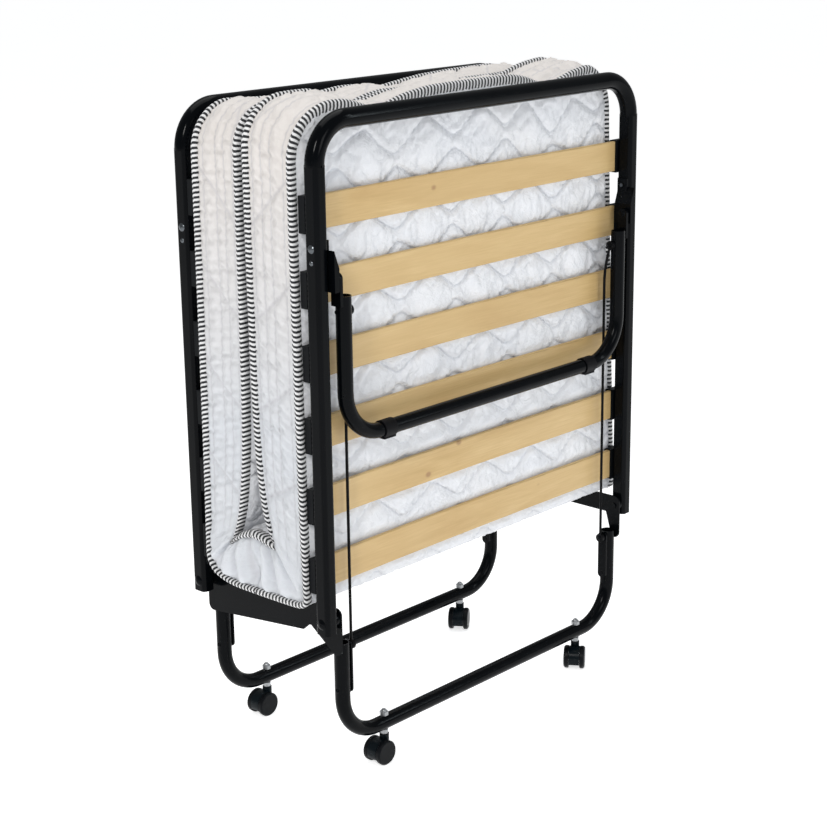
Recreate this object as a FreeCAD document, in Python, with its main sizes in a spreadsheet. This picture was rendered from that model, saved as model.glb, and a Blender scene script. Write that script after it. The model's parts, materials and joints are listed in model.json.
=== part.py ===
import FreeCAD, Part
import os
import re

import Sketcher
from FreeCAD import Placement, Rotation, Vector

# Folding guest bed, folded and standing on its casters. Millimetres, +Z is up.
# The origin is on the floor under the middle of the bed, and X runs along the slats. The near half
# stands on the -Y side and the far half on the +Y side. Each half is modelled on the near side and
# turned half a turn about Z for the far one.

SIZES = {
    # hinge between each half and the middle stand
    "hinge_y": 146, "hinge_z": 285, "hinge_pin": 5, "hinge_head": 9, "hinge_head_high": 3.5,
    # running clearance round pins, and the gap kept between soft parts and their neighbours
    "play": 0.05, "gap": 0.3,
    # side rails: rounded rectangular tube
    "rail_x": 385, "rail_deep": 28, "rail_broad": 24, "rail_round": 7, "rail_wall": 1.5,
    "rail_low": 267, "rail_high": 1005,
    # head bow: round tube across the top of each half
    "bow_tube": 15, "bow_wall": 1.5, "bow_z": 1067, "bow_bend": 65,
    # round tube of the end legs and the centre legs
    "leg_tube": 12.5, "leg_wall": 1.5,
    # end leg, folded against the outside of its half
    "foot_pivot_z": 835, "foot_pivot_out": 12.5, "foot_x": 344, "foot_drop": 257.5,
    "foot_bend": 75, "foot_tip": 30, "foot_pin": 4,
    # flat lugs that carry the end leg's tips
    "lug_x": 354, "lug_thick": 6, "lug_half": 10, "lug_root": 15,
    # foot pads on the end leg's bar
    "pad_x": 256, "pad_long": 26, "pad_ring": 14.6, "pad_half": 9, "pad_reach": 272.3,
    # link rods, which swing the end legs
    "link_in": 4, "link_drop": 55, "link_x": 328.2, "link_rod": 2.4, "link_eye": 8, "link_thick": 5.6,
    "link_pin": 3, "link_crank": 70,
    # centre legs
    "stand_x": 350, "stand_y": 142, "stand_bar": 68, "stand_top": 240, "stand_bend": 75,
    # hinge plates; the left one is deep from its far end to a notch near the other
    "plate_x": 362.7, "plate_thick": 3, "plate_end": 158, "plate_top": 303, "plate_low": 270,
    "lobe_in": 142, "lobe_low": 223, "web_in": 128, "plate_round": 11,
    "deep_low": 248, "deep_middle": 72, "notch_in": 86, "notch_out": 90, "notch_z": 260,
    # straps on the inner sides of the centre legs
    "strap_half": 9, "strap_thick": 3.5, "strap_round": 8, "strap_low": 150, "strap_high": 240,
    "leg_bolt": 2.5, "leg_bolt_z": 159,
    # slats
    "slat_low": 360, "slat_step": 114, "slat_high": 53, "slat_thick": 8, "slat_half": 378,
    "slat_y": 125, "slat_crown": 4, "slat_round": 2.5,
    # plastic caps on the slat ends
    "cap_in": 370, "cap_out": 394, "cap_face": 116, "cap_high": 57, "cap_slot": 379,
    "cap_play": 0.4, "cap_round": 4,
    # brackets that carry the end legs
    "ear_x": 363, "ear_low": 814, "ear_high": 850, "ear_slope": 878, "ear_top": 893,
    "ear_tab": 3, "ear_front": 171, "ear_back": 136, "tab_front": 157,
    "frame_bolt": 3, "frame_bolt_z": 881, "rivet": 2, "rivet_z": 860,
    # casters
    "caster_x": 256, "stem": 4, "stem_low": 30, "stem_high": 88, "neck": 6.5, "neck_low": 48.5,
    "nut": 7.5, "nut_high": 6.5, "nut_dome": 5.2,
    "wheel": 21, "wheel_in": 10, "wheel_out": 19, "wheel_cap": 17.2, "wheel_edge": 1.2,
    "trail": 12, "axle": 3, "axle_half": 17,
    "hood": 20.2, "hood_inner": 16.5, "hood_half": 9.7, "web_half": 3, "boss": 5.5, "hub": 8,
    "hub_high": 48, "hood_sweep": 200,
    # mattress
    "bed_half": 399, "pillow_out": 114.5, "pillow_in": 10, "pillow_top": 1082, "pillow_bottom": 306,
    "crease_y": 48, "spread_y": 21, "spread_z": 450, "close_z": 560, "pillow_round": 22,
}
SLATS = 6
CASTERS = {
    # name: (side in X, side in Y, turn of the caster about Z in degrees)
    "near_left": (-1, -1, 0), "near_right": (1, -1, 33.5),
    "far_left": (-1, 1, 0), "far_right": (1, 1, 33.5),
}
ALONG_X = Rotation(Vector(0, 1, 0), 90)
ALONG_MINUS_X = Rotation(Vector(0, 1, 0), -90)
UPRIGHT = Rotation()

doc = FreeCAD.newDocument("folding_cot")
sheet = doc.addObject("Spreadsheet::Sheet", "dims")
for row, (alias, size) in enumerate(SIZES.items(), start=1):
    sheet.set(f"A{row}", alias)
    sheet.set(f"B{row}", str(size))
    sheet.setAlias(f"B{row}", alias)
doc.recompute()
nodes = []


# Sheet-driven values and placements

def ref(text):
    """Point each cell name in an expression at the spreadsheet."""
    return re.sub(r"[a-z_]+", lambda word: f"dims.{word[0]}" if word[0] in SIZES else word[0], str(text))


def value(text):
    return float(sheet.evalExpression(ref(text)))


def bind(thing, **texts):
    for name, text in texts.items():
        thing.setExpression(name, ref(text))
    return thing


def place(thing, at, rotation=UPRIGHT):
    """Put a thing at three sheet expressions."""
    thing.Placement = Placement(Vector(), rotation)
    for letter, text in zip("xyz", at):
        thing.setExpression(f"Placement.Base.{letter}", ref(text))
    return thing


def node(thing, label):
    thing.Label = label
    nodes.append(thing)
    return thing


def group(label, members):
    """One node that holds several separate solids."""
    compound = doc.addObject("Part::Compound", "group")
    compound.Links = members
    return node(compound, label)


def copy_of(source, at, rotation=UPRIGHT):
    link = doc.addObject("App::Link", "copy")
    link.LinkedObject = source
    return place(link, at, rotation)


# Sketches

def sketch_on(body, plane, offset="0"):
    sketch = body.newObject("Sketcher::SketchObject", "sketch")
    support = next(feature for feature in body.Origin.OriginFeatures if feature.Role == plane)
    sketch.AttachmentSupport = [(support, "")]
    sketch.MapMode = "FlatFace"
    sketch.setExpression("AttachmentOffset.Base.z", ref(offset))
    return sketch


def drive(sketch, constraint, text):
    index = sketch.addConstraint(constraint)
    sketch.setExpression(f"Constraints[{index}]", ref(text))


def fix_point(sketch, edge, end, across, up):
    """Hold one end of an edge at two sheet expressions."""
    for kind, text, axis in (("DistanceX", across, -2), ("DistanceY", up, -1)):
        if text == "0":
            sketch.addConstraint(Sketcher.Constraint("PointOnObject", edge, end, axis))
        else:
            drive(sketch, Sketcher.Constraint(kind, -1, 1, edge, end, value(text)), text)


def point(across, up):
    return Vector(value(across), value(up), 0)


def edges(sketch, corners, closed=False):
    """A path through the corners. A third item is the radius of the arc to the next corner, turning
    left, or right if it is negative."""
    first = sketch.GeometryCount
    count = len(corners)
    drawn = corners if closed else corners[:-1]
    for index, corner in enumerate(drawn):
        start = point(*corner[:2])
        end = point(*corners[(index + 1) % count][:2])
        if len(corner) == 2:
            sketch.addGeometry(Part.LineSegment(start, end))
            continue
        radius = value(corner[2])
        chord = end - start
        reach = max(radius * radius - (chord.Length / 2) ** 2, 0) ** 0.5
        left = Vector(-chord.y, chord.x, 0).normalize()
        centre = (start + end) / 2 + left * reach * (1 if radius > 0 else -1)
        sweep = (start, end) if radius > 0 else (end, start)
        angles = [Vector(1, 0, 0).getAngle(spot - centre) * (1 if spot.y >= centre.y else -1)
                  for spot in sweep]
        circle_line = Part.Circle(centre, Vector(0, 0, 1), abs(radius))
        sketch.addGeometry(Part.ArcOfCircle(circle_line, *angles))
        drive(sketch, Sketcher.Constraint("Radius", first + index, abs(radius)),
              f"abs({corner[2]})")
    starts = [2 if len(corner) == 3 and value(corner[2]) < 0 else 1 for corner in drawn]
    for index, corner in enumerate(drawn):
        after = (index + 1) % count
        fix_point(sketch, first + index, starts[index], *corner[:2])
        if after < len(drawn):
            sketch.addConstraint(Sketcher.Constraint("Coincident", first + index, 3 - starts[index],
                                                     first + after, starts[after]))
        else:
            fix_point(sketch, first + index, 3 - starts[index], *corners[after][:2])


def loop(sketch, corners):
    edges(sketch, corners, closed=True)


def ring(sketch, across, up, *radii):
    for radius in radii:
        circle_line = Part.Circle(point(across, up), Vector(0, 0, 1), value(radius))
        index = sketch.addGeometry(circle_line)
        fix_point(sketch, index, 3, across, up)
        drive(sketch, Sketcher.Constraint("Radius", index, value(radius)), radius)


def rounded(half_across, half_up, radius):
    """Corners of a rounded rectangle round the origin, for loop()."""
    x, y, r = f"({half_across})", f"({half_up})", f"({radius})"
    return [(f"-{x} + {r}", f"-{y}"), (f"{x} - {r}", f"-{y}", r), (x, f"-{y} + {r}"), (x, f"{y} - {r}", r),
            (f"{x} - {r}", y), (f"-{x} + {r}", y, r), (f"-{x}", f"{y} - {r}"), (f"-{x}", f"-{y} + {r}", r)]


# Features

def new_body():
    return doc.addObject("PartDesign::Body", "body")


def pad(body, sketch, length, centred=False, backwards=False):
    feature = body.newObject("PartDesign::Pad", "pad")
    feature.Profile = sketch
    feature.SideType = "Symmetric" if centred else "One side"
    feature.Reversed = backwards
    return bind(feature, Length=length)


def hole(body, plane, *rings):
    """Holes right through the body, square to the plane."""
    sketch = sketch_on(body, plane)
    for across, up, radius in rings:
        ring(sketch, across, up, radius)
    feature = body.newObject("PartDesign::Pocket", "hole")
    feature.Profile = sketch
    feature.Type = "ThroughAll"
    feature.SideType = "Symmetric"
    return feature


def spin(body, sketch, axis="V_Axis"):
    feature = body.newObject("PartDesign::Revolution", "spin")
    feature.Profile = sketch
    feature.ReferenceAxis = (sketch, [axis])
    feature.Angle = 360
    return feature


def soften(body, feature, radius, chosen):
    """Round the chosen edges of the last feature."""
    doc.recompute()
    names = [f"Edge{index}" for index, edge in enumerate(feature.Shape.Edges, start=1) if chosen(edge)]
    fillet = body.newObject("PartDesign::Fillet", "fillet")
    fillet.Base = (feature, names)
    return bind(fillet, Radius=radius)


def runs_along(edge, axis):
    ends = [vertex.Point for vertex in edge.Vertexes]
    return len(ends) == 2 and abs((ends[1] - ends[0]).normalize().dot(axis)) > 0.999


def u_tube(half_x, rise, bend, radius, wall):
    """A tube bent to a U, its two tips on the body's own XY plane and its bar at height rise."""
    body = new_body()
    upward = value(rise) > 0
    turn, curve = (f"{rise} - {bend}", f"-({bend})") if upward else (f"{rise} + {bend}", bend)
    spine = sketch_on(body, "XZ_Plane")
    edges(spine, [(f"-{half_x}", "0"), (f"-{half_x}", turn, curve), (f"-{half_x} + {bend}", rise),
                  (f"{half_x} - {bend}", rise, curve), (half_x, turn), (half_x, "0")])
    section = sketch_on(body, "XY_Plane")
    ring(section, f"-{half_x}", "0", radius, f"{radius} - {wall}")
    pipe = body.newObject("PartDesign::AdditivePipe", "tube")
    pipe.Profile = section
    pipe.Spine = spine
    return body


def dome_pin(head, head_high, shank, length):
    """A domed head above the body's XY plane and a shank below it."""
    body = new_body()
    sketch = sketch_on(body, "XZ_Plane")
    dome = f"({head} * {head} + {head_high} * {head_high}) / (2 * {head_high})"
    loop(sketch, [("0", f"-({length})"), (shank, f"-({length})"), (shank, "0"),
                  (head, "0", dome), ("0", head_high)])
    spin(body, sketch)
    return body


# Pieces of one half

def side_rail():
    body = new_body()
    sketch = sketch_on(body, "XY_Plane")
    loop(sketch, rounded("rail_broad / 2", "rail_deep / 2", "rail_round"))
    loop(sketch, rounded("rail_broad / 2 - rail_wall", "rail_deep / 2 - rail_wall", "rail_round - rail_wall"))
    pad(body, sketch, "rail_high - rail_low")
    hole(body, "YZ_Plane", ("0", "hinge_z - rail_low", "hinge_pin + play"),
         ("0", "frame_bolt_z - rail_low", "frame_bolt + play"), ("0", "rivet_z - rail_low", "rivet + play"))
    return body


def slat():
    """A crowned board, its middle bowed towards the mattress."""
    body = new_body()
    sketch = sketch_on(body, "XY_Plane")
    arc = "(slat_half * slat_half + slat_crown * slat_crown) / (2 * slat_crown)"
    loop(sketch, [("-slat_half", "-slat_thick / 2", f"-{arc}"), ("slat_half", "-slat_thick / 2"),
                  ("slat_half", "slat_thick / 2", arc), ("-slat_half", "slat_thick / 2")])
    board = pad(body, sketch, "slat_high", centred=True)
    soften(body, board, "slat_round", lambda edge: edge.Length > 100)
    return body


def slat_cap():
    """A block on the rail's face with a slot for the slat's end, on the +X side."""
    body = new_body()
    sketch = sketch_on(body, "XY_Plane")
    depth = "hinge_y - rail_deep / 2 - cap_face"
    loop(sketch, [("cap_in", "0"), ("cap_out", "0"), ("cap_out", depth), ("cap_in", depth)])
    block = pad(body, sketch, "cap_high", centred=True)
    outer_face = value(depth)
    soften(body, block, "cap_round", lambda edge: all(vertex.Y > outer_face - 1 for vertex in edge.Vertexes)
           and not all(vertex.X < value("cap_in") + 1 for vertex in edge.Vertexes))
    slot = sketch_on(body, "YZ_Plane", "cap_in")
    middle = "hinge_y - rail_deep / 2 - slat_y"
    half_thick, half_high = "(slat_thick / 2 + cap_play)", "(slat_high / 2 + cap_play)"
    loop(slot, [(f"{middle} - {half_thick}", f"-{half_high}"), (f"{middle} + {half_thick}", f"-{half_high}"),
                (f"{middle} + {half_thick}", half_high), (f"{middle} - {half_thick}", half_high)])
    pocket = body.newObject("PartDesign::Pocket", "slot")
    pocket.Profile = slot
    pocket.Reversed = True
    bind(pocket, Length="cap_slot - cap_in")
    return body


def leg_ear(side):
    """The bracket on the inner face of one rail: a block for the end leg's pivot and a tab above it."""
    body = new_body()
    sketch = sketch_on(body, "XZ_Plane", "ear_back")
    wall = "(rail_x - rail_broad / 2)"
    outline = [(wall, "ear_low"), (wall, "ear_slope"), ("ear_x", "ear_high"), ("ear_x", "ear_low")]
    loop(sketch, [(f"{side} * ({across})", up) for across, up in outline])
    block = pad(body, sketch, "ear_front - ear_back")
    soften(body, block, "ear_tab", lambda edge: runs_along(edge, Vector(0, 1, 0))
           and abs(edge.Vertexes[0].X) < value("ear_x") + 1)
    tab = sketch_on(body, "XZ_Plane", "ear_back")
    inner = f"({wall} - ear_tab)"
    outline = [(wall, "ear_high"), (wall, "ear_top"), (inner, "ear_top"), (inner, "ear_high")]
    loop(tab, [(f"{side} * {across}", up) for across, up in outline])
    pad(body, tab, "tab_front - ear_back")
    pivot_out = "-hinge_y - foot_pivot_out"
    hole(body, "YZ_Plane", (pivot_out, "foot_pivot_z", "foot_pin + play"),
         ("-hinge_y", "frame_bolt_z", "frame_bolt + play"), ("-hinge_y", "rivet_z", "rivet + play"))
    return body


def half_mattress():
    """The length of mattress on one half, cut at the slope that runs from the hinge to the crease."""
    body = new_body()
    sketch = sketch_on(body, "YZ_Plane")
    slope = "(hinge_z - hinge_y)"
    outer, inner = "-pillow_out", "-crease_y"
    loop(sketch, [(outer, f"{slope} + hinge_y - pillow_out + hinge_y + 2 * gap"), (outer, "pillow_top"),
                  ("-pillow_in", "pillow_top"), ("-pillow_in", "close_z"), ("-spread_y", "spread_z"),
                  (inner, f"{slope} + hinge_y - crease_y + hinge_y + 2 * gap")])
    block = pad(body, sketch, "2 * bed_half", centred=True)
    soften(body, block, "pillow_round",
           lambda edge: min(vertex.Z for vertex in edge.Vertexes) > value("pillow_top") - 1)
    return body


def build_half(name, turn):
    """Everything that rides on one half frame, with its end leg and link rods."""
    about = Rotation(Vector(0, 0, 1), turn)
    near = "-1" if turn == 0 else "1"

    bow = u_tube("rail_x", "(bow_z - rail_high)", "bow_bend", "bow_tube", "bow_wall")
    node(place(bow, ("0", f"{near} * hinge_y", "rail_high"), about), f"head_bow_{name}")
    for side_name, side in (("left", "-1"), ("right", "1")):
        foot = (f"{side} * rail_x", f"{near} * hinge_y", "rail_low")
        node(place(side_rail(), foot, about), f"side_rail_{name}_{side_name}")
    for index in range(SLATS):
        node(place(slat(), ("0", f"{near} * slat_y", f"slat_low + {index} * slat_step"), about),
             f"slat_{name}_{index + 1}")

    cap = slat_cap()
    face = "(hinge_y - rail_deep / 2)"
    other_end = Rotation(Vector(0, 1, 0), 180)
    caps = [copy_of(cap, ("0", f"{near} * {face}", f"slat_low + {index} * slat_step"), about * end)
            for index in range(SLATS) for end in (UPRIGHT, other_end)]
    group(f"slat_caps_{name}", caps)
    ears = [place(leg_ear(side), ("0", "0", "0"), about) for side in ("-1", "1")]
    group(f"leg_brackets_{name}", ears)

    rail_outer = "(rail_x + rail_broad / 2)"
    rail_inner = "(rail_x - rail_broad / 2)"
    bolt = dome_pin("2.2 * frame_bolt", "frame_bolt", "frame_bolt", "rail_broad + 2 * ear_tab")
    rivet = dome_pin("2 * rivet", "rivet", "rivet", "rail_broad + ear_tab + rivet / 2")
    fasteners = [copy_of(pin, (f"{side} * {rail_outer}", f"{near} * hinge_y", height), turned)
                 for pin, height in ((bolt, "frame_bolt_z"), (rivet, "rivet_z"))
                 for side, turned in (("1", ALONG_X), ("-1", ALONG_MINUS_X))]
    group(f"frame_bolts_{name}", fasteners)

    pivot_y = f"{near} * (hinge_y + foot_pivot_out)"
    pivot = dome_pin("1.8 * foot_pin", "foot_pin / 2", "foot_pin", f"{rail_inner} - lug_x - gap")
    pivots = [copy_of(pivot, (f"{side} * lug_x", pivot_y, "foot_pivot_z"), turned)
              for side, turned in (("1", ALONG_MINUS_X), ("-1", ALONG_X))]
    group(f"end_leg_pivots_{name}", pivots)
    node(place(half_mattress(), ("0", "0", "0"), about), f"mattress_{name}")

    link_y = "foot_pivot_out - link_in"
    node(place(end_leg(), ("0", pivot_y, "foot_pivot_z - foot_tip"), about), f"end_leg_{name}")
    pad_body = foot_pad()
    pads = [copy_of(pad_body, (f"{side} * pad_x", pivot_y, "foot_pivot_z - foot_drop"), about)
            for side in ("-1", "1")]
    group(f"foot_pads_{name}", pads)

    upper_y = f"{near} * (hinge_y + {link_y})"
    upper_z = "foot_pivot_z - link_drop"
    eye_inner = "(link_x - link_thick / 2)"
    upper = dome_pin("1.8 * link_pin", "link_pin / 2", "link_pin", f"foot_x + leg_tube - {eye_inner}")
    uppers = [copy_of(upper, (f"{side} * {eye_inner}", upper_y, upper_z), turned)
              for side, turned in (("1", ALONG_MINUS_X), ("-1", ALONG_X))]
    group(f"link_pins_{name}", uppers)
    lower_y = f"{near} * (hinge_y - link_in)"
    rods = [place(link_rod(), (f"{side} * link_x", lower_y, "hinge_z - link_drop"), about)
            for side in ("-1", "1")]
    group(f"link_rods_{name}", rods)


def end_leg():
    """A U of tube with a flat lug on the outer side of each tip."""
    body = u_tube("foot_x", "-(foot_drop - foot_tip)", "foot_bend", "leg_tube", "leg_wall")
    for start in ("lug_x", "-lug_x - lug_thick"):
        lug = sketch_on(body, "YZ_Plane", start)
        loop(lug, [("-lug_half", "-lug_root"), ("lug_half", "-lug_root"),
                   ("lug_half", "foot_tip", "1.05 * lug_half"), ("-lug_half", "foot_tip")])
        pad(body, lug, "lug_thick")
    hole(body, "YZ_Plane", ("0", "foot_tip", "foot_pin + play"),
         ("link_in", "foot_tip - link_drop", "link_pin + play"))
    return body


def foot_pad():
    """A plastic ring round the end leg's bar with a flat foot under it."""
    body = new_body()
    sketch = sketch_on(body, "YZ_Plane")
    ring(sketch, "0", "0", "pad_ring")
    pad(body, sketch, "pad_long", centred=True)
    foot = sketch_on(body, "YZ_Plane")
    sole = "-(pad_reach - foot_drop)"
    loop(foot, [("-pad_half", sole), ("pad_half", sole), ("pad_half", "0"), ("-pad_half", "0")])
    pad(body, foot, "pad_long", centred=True)
    hole(body, "YZ_Plane", ("0", "0", "leg_tube + play"))
    return body


def link_rod():
    """A thin rod with an eye at each end, curved outward to the upper eye."""
    body = new_body()
    spine = sketch_on(body, "YZ_Plane")
    reach = "(foot_pivot_z - hinge_z)"
    curve = "(link_crank * link_crank + foot_pivot_out * foot_pivot_out) / (2 * foot_pivot_out)"
    edges(spine, [("0", "0"), ("0", f"{reach} - link_crank", curve), ("-foot_pivot_out", reach)])
    section = sketch_on(body, "XY_Plane")
    ring(section, "0", "0", "link_rod")
    pipe = body.newObject("PartDesign::AdditivePipe", "rod")
    pipe.Profile = section
    pipe.Spine = spine
    eyes = sketch_on(body, "YZ_Plane")
    ring(eyes, "0", "0", "link_eye")
    ring(eyes, "-foot_pivot_out", reach, "link_eye")
    pad(body, eyes, "link_thick", centred=True)
    hole(body, "YZ_Plane", ("0", "0", "link_pin + play"), ("-foot_pivot_out", reach, "link_pin + play"))
    return body


# Middle stand

def hinge_plate(side):
    body = new_body()
    start = "plate_x" if side > 0 else "-plate_x - plate_thick"
    sketch = sketch_on(body, "YZ_Plane", start)
    lobe = [("plate_end", "plate_top"), ("plate_end", "lobe_low"), ("lobe_in", "lobe_low")]
    if side > 0:
        lower_edge = [("web_in", "plate_low"), ("-web_in", "plate_low")]
    else:
        lower_edge = [("-deep_middle", "deep_low"), ("-notch_in", "notch_z"), ("-notch_out", "notch_z")]
    loop(sketch, [*lobe, *lower_edge, *[(f"-{across}", up) for across, up in reversed(lobe)]])
    sheet_metal = pad(body, sketch, "plate_thick")
    soften(body, sheet_metal, "plate_round",
           lambda edge: runs_along(edge, Vector(1, 0, 0))
           and abs(edge.Vertexes[0].Y) > value("plate_end") - 1)
    hole(body, "YZ_Plane", *[(f"{sign} * {across}", up, radius) for sign in ("-1", "1")
         for across, up, radius in (("hinge_y", "hinge_z", "hinge_pin + play"),
                                    ("stand_y", "hinge_z - link_drop", "link_pin + play"))])
    return body


def leg_strap():
    """A flat strap down the inner side of a centre leg, on the +X side."""
    body = new_body()
    sketch = sketch_on(body, "YZ_Plane", "stand_x - leg_tube - play - strap_thick")
    loop(sketch, rounded("strap_half", "(strap_high - strap_low) / 2", "strap_round"))
    pad(body, sketch, "strap_thick")
    middle = "(strap_high + strap_low) / 2"
    hole(body, "YZ_Plane", ("0", f"hinge_z - link_drop - {middle}", "link_pin + play"),
         ("0", f"leg_bolt_z - {middle}", "leg_bolt + play"))
    return body


def build_stand():
    for name, side in (("left", -1), ("right", 1)):
        node(place(hinge_plate(side), ("0", "0", "0")), f"hinge_plate_{name}")
        strap = leg_strap()
        about = UPRIGHT if side > 0 else Rotation(Vector(0, 0, 1), 180)
        straps = [copy_of(strap, ("0", f"{y} * stand_y", "(strap_high + strap_low) / 2"), about)
                  for y in ("-1", "1")]
        group(f"leg_straps_{name}", straps)
    for name, y in (("near", "-1"), ("far", "1")):
        leg = u_tube("stand_x", "(stand_bar - stand_top)", "stand_bend", "leg_tube", "leg_wall")
        hole(leg, "YZ_Plane", ("0", "hinge_z - link_drop - stand_top", "link_pin + play"),
             ("0", "leg_bolt_z - stand_top", "leg_bolt + play"))
        hole(leg, "XY_Plane", ("-caster_x", "0", "stem + play"), ("caster_x", "0", "stem + play"))
        node(place(leg, ("0", f"{y} * stand_y", "stand_top")), f"centre_leg_{name}")

    sides = [(x, y) for x in ("1", "-1") for y in ("1", "-1")]
    inward = {"1": ALONG_X, "-1": ALONG_MINUS_X}
    outward = {"1": ALONG_MINUS_X, "-1": ALONG_X}
    rail_outer = "rail_x + rail_broad / 2 + play"
    pin = dome_pin("hinge_head", "hinge_head_high", "hinge_pin", f"{rail_outer} - plate_x + 2")
    washer = new_body()
    sketch = sketch_on(washer, "YZ_Plane")
    ring(sketch, "0", "0", "hinge_head + 2", "hinge_pin + play")
    pad(washer, sketch, "rail_x - rail_broad / 2 - plate_x - plate_thick - 2 * play", centred=True)
    middle = "(rail_x - rail_broad / 2 + plate_x + plate_thick) / 2"
    rivets = [copy_of(pin, (f"{x} * ({rail_outer})", f"{y} * hinge_y", "hinge_z"), inward[x])
              for x, y in sides]
    washers = [copy_of(washer, (f"{x} * {middle}", f"{y} * hinge_y", "hinge_z")) for x, y in sides]
    group("hinge_rivets", rivets + washers)

    eye_inner = "(link_x - link_thick / 2)"
    lower = dome_pin("1.8 * link_pin", "link_pin / 2", "link_pin", f"plate_x + plate_thick - {eye_inner}")
    group("link_lower_pins", [copy_of(lower, (f"{x} * {eye_inner}", f"{y} * stand_y", "hinge_z - link_drop"),
                                      outward[x]) for x, y in sides])
    bolt = dome_pin("1.6 * leg_bolt", "leg_bolt", "leg_bolt", "2 * leg_tube + strap_thick + 1")
    bolt_x = "(stand_x + leg_tube)"
    group("leg_bolts", [copy_of(bolt, (f"{x} * {bolt_x}", f"{y} * stand_y", "leg_bolt_z"), inward[x])
                        for x, y in sides])
    node(centre_mattress(), "mattress_centre")


def centre_mattress():
    """The stretch of mattress between the hinges, under the two sloping cuts."""
    body = new_body()
    sketch = sketch_on(body, "YZ_Plane")
    foot_y = "(pillow_bottom - hinge_z - hinge_y + 2 * gap)"
    head_z = "(hinge_z - crease_y + hinge_y - 2 * gap)"
    loop(sketch, [(foot_y, "pillow_bottom"), (f"-{foot_y}", "pillow_bottom"), ("crease_y", head_z),
                  ("-crease_y", head_z)])
    pad(body, sketch, "2 * bed_half", centred=True)
    return body


# Casters

def barrel(radius, low, high, at=("0", "0"), plane="XY_Plane"):
    """A cylinder as its own body, square to the plane between two heights."""
    body = new_body()
    sketch = sketch_on(body, plane, low)
    ring(sketch, at[0], at[1], radius)
    pad(body, sketch, f"{high} - ({low})")
    return body


def caster_hood():
    """A hood open at the bottom between the wheels, with its axle boss and stem hub."""
    across = Rotation(Vector(0, 1, 0), -10) * Rotation(Vector(1, 0, 0), 90)

    def drum(radius, half_wide, sweep="360"):
        cylinder = doc.addObject("Part::Cylinder", "drum")
        bind(cylinder, Radius=radius, Height=f"2 * {half_wide}", Angle=sweep)
        return place(cylinder, ("-trail", half_wide, "wheel"), across)

    shell = doc.addObject("Part::Cut", "shell")
    shell.Base = drum("hood", "hood_half", "hood_sweep")
    shell.Tool = drum("hood_inner", "(hood_half + 1)")
    solid = doc.addObject("Part::MultiFuse", "solid")
    solid.Shapes = [shell, drum("(hood_inner + 1)", "web_half", "hood_sweep"), drum("boss", "hood_half"),
                    barrel("hub", "stem_low", "hub_high")]
    bores = doc.addObject("Part::MultiFuse", "bores")
    bores.Shapes = [drum("(axle + play)", "(hood_half + 1)"),
                    barrel("stem + play", "stem_low - 3", "hub_high + 1")]
    hood = doc.addObject("Part::Cut", "hood")
    hood.Base = solid
    hood.Tool = bores
    return hood


def caster_wheels():
    """Two wheels on one axle, each with a closed outer face."""
    body = new_body()
    body.AllowCompound = True
    sketch = sketch_on(body, "XY_Plane")
    for side in ("1", "-1"):
        outline = [("axle + play", "wheel_in"), ("wheel - wheel_edge", "wheel_in"),
                   ("wheel", "wheel_in + wheel_edge"), ("wheel", "wheel_out - 2 * wheel_edge"),
                   ("wheel - 2 * wheel_edge", "wheel_out"), ("0", "wheel_out"), ("0", "wheel_cap"),
                   ("axle + play", "wheel_cap")]
        loop(sketch, [(across, f"{side} * ({up})") for across, up in outline])
    spin(body, sketch)
    return body


def caster_stem():
    """A pin through the leg with a collar under the tube, its foot in the hood's hub."""
    body = new_body()
    sketch = sketch_on(body, "XZ_Plane")
    shoulder = "stand_bar - leg_tube - play"
    loop(sketch, [("0", "stem_low"), ("stem", "stem_low"), ("stem", "neck_low"), ("neck", "neck_low"),
                  ("neck", shoulder), ("stem", shoulder), ("stem", "stem_high"), ("0", "stem_high")])
    spin(body, sketch)
    return body


def cap_nut():
    """A hexagonal nut with a dome, on top of the leg's bar."""
    seat = "(stand_bar + leg_tube + play)"
    prism = doc.addObject("Part::Prism", "prism")
    prism.Polygon = 6
    bind(prism, Circumradius="nut", Height="nut_high")
    place(prism, ("0", "0", seat))
    dome = doc.addObject("Part::Sphere", "dome")
    bind(dome, Radius="nut_dome", Angle1="0")
    place(dome, ("0", "0", f"{seat} + nut_high"))
    solid = doc.addObject("Part::Fuse", "solid")
    solid.Base = prism
    solid.Tool = dome
    nut = doc.addObject("Part::Cut", "nut")
    nut.Base = solid
    nut.Tool = barrel("stem + play", f"{seat} - 1", "stem_high + play")
    return nut


def build_casters():
    stem, nut = caster_stem(), cap_nut()
    spots = [(f"{x} * caster_x", f"{y} * stand_y", "0") for x, y, turn in CASTERS.values()]
    group("caster_stems", [copy_of(stem, spot) for spot in spots])
    group("caster_cap_nuts", [copy_of(nut, spot) for spot in spots])
    for name, (x, y, turn) in CASTERS.items():
        about = Rotation(Vector(0, 0, 1), turn)
        node(place(caster_hood(), (f"{x} * caster_x", f"{y} * stand_y", "0"), about), f"caster_hood_{name}")
        hub = (f"{x} * caster_x - trail * cos({turn})", f"{y} * stand_y - trail * sin({turn})", "wheel")
        node(place(caster_wheels(), hub, about), f"caster_wheels_{name}")
        axle = barrel("axle", "-axle_half", "axle_half", plane="XZ_Plane")
        node(place(axle, hub, about), f"caster_axle_{name}")


build_half("near", 0)
build_half("far", 180)
build_stand()
build_casters()
doc.recompute()

for thing in doc.Objects:
    if "Invalid" in thing.State or "Error" in thing.State:
        raise RuntimeError(f"{thing.Name} ({thing.Label}) failed: {thing.State}")
os.makedirs("parts", exist_ok=True)
for thing in nodes:
    if thing.Shape.isNull() or not thing.Shape.isValid():
        raise RuntimeError(f"{thing.Label} has no valid shape")
    thing.Shape.exportStep(os.path.join("parts", f"{thing.Label}.step"))
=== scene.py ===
import json
import math

import bpy
import numpy as np
from mathutils import Matrix, Vector


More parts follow.
